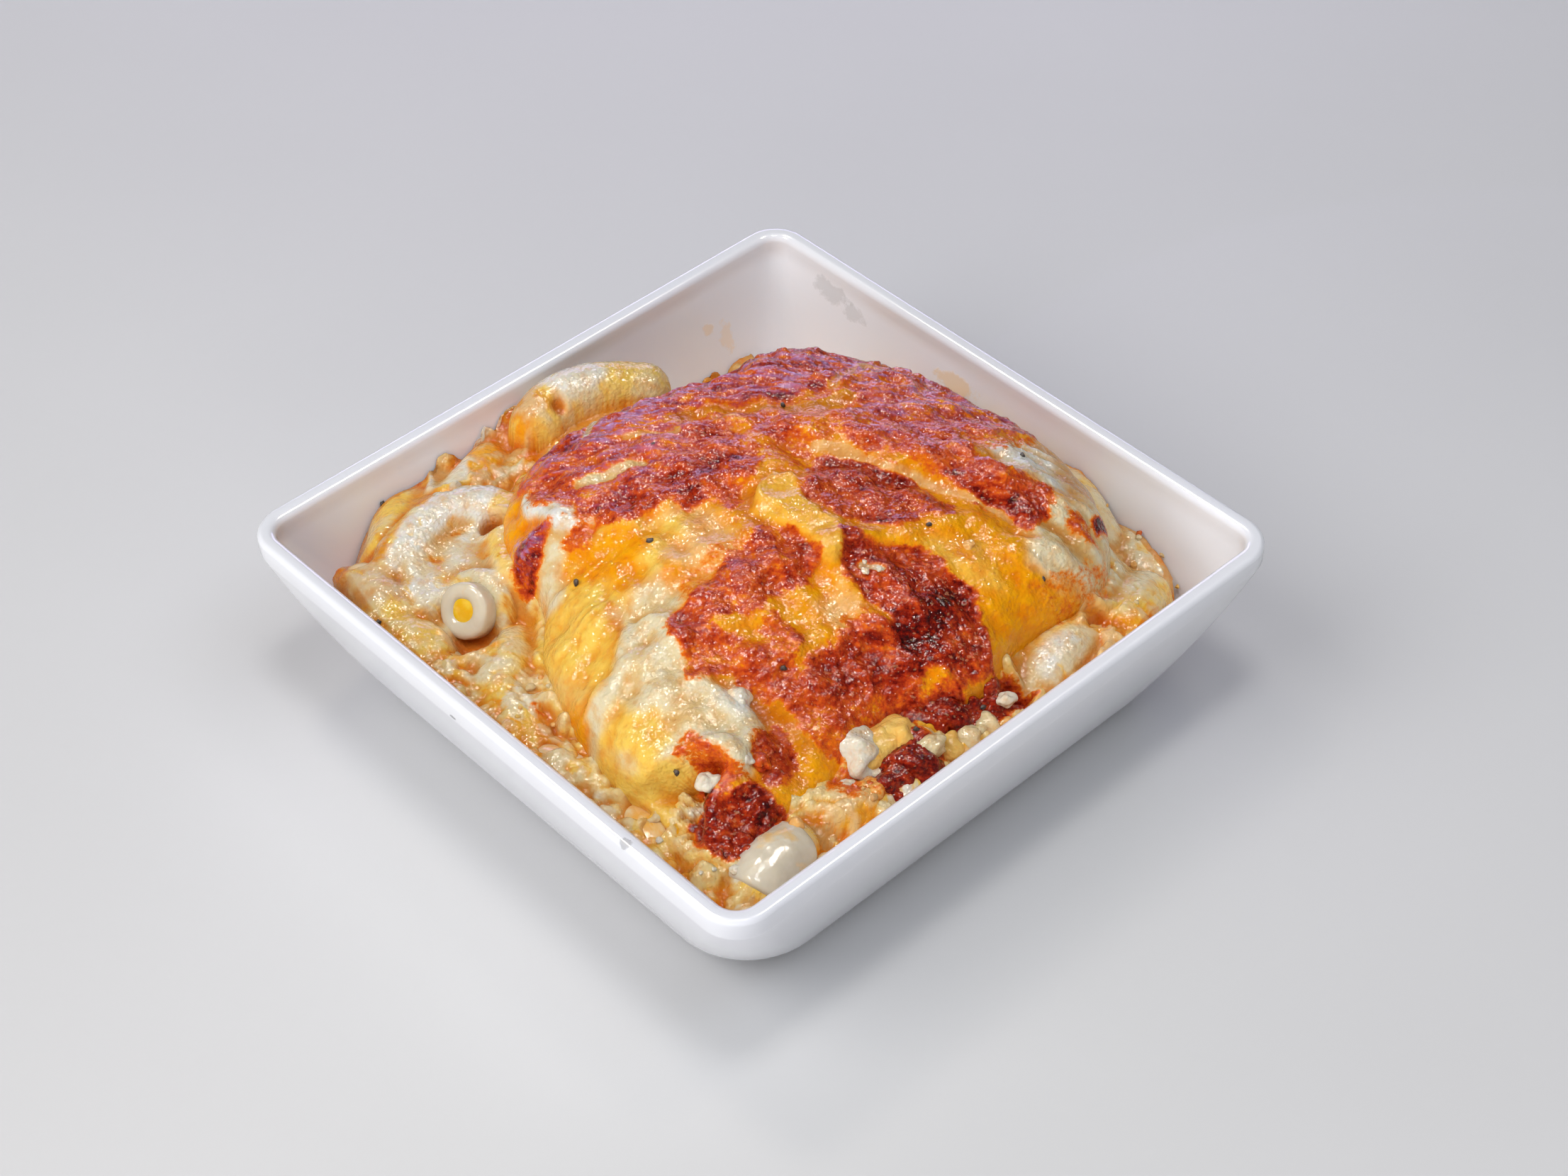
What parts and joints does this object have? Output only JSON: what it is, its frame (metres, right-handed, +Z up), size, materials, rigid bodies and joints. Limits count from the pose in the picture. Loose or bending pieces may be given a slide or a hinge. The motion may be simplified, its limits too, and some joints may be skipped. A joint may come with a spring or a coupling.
{
  "type": "mac and cheese",
  "caption": "Macaroni and cheese under a browned, domed blanket of melted cheese, served in a shallow square white bowl that it stands in.",
  "frame": {"origin": "middle of the bowl's square foot, on the surface it stands on", "axes": "+Z up out of the bowl's mouth; X and Y along the bowl's sides, its front corner towards -X -Y and its back corner, where the free space is, towards +X +Y"},
  "size_m": [0.115, 0.115, 0.0462],
  "materials": {
    "bowl_glaze": "glossy white glaze with a few food smears and grey marks",
    "macaroni_cheese": "moist melted cheese over cooked pasta, glossy with oil; yellow and cream, browned to red brown on top"
  },
  "bodies": {
    "root": {"bowl": "bowl_glaze", "macaroni_cheese": "macaroni_cheese"}
  },
  "joints": []
}
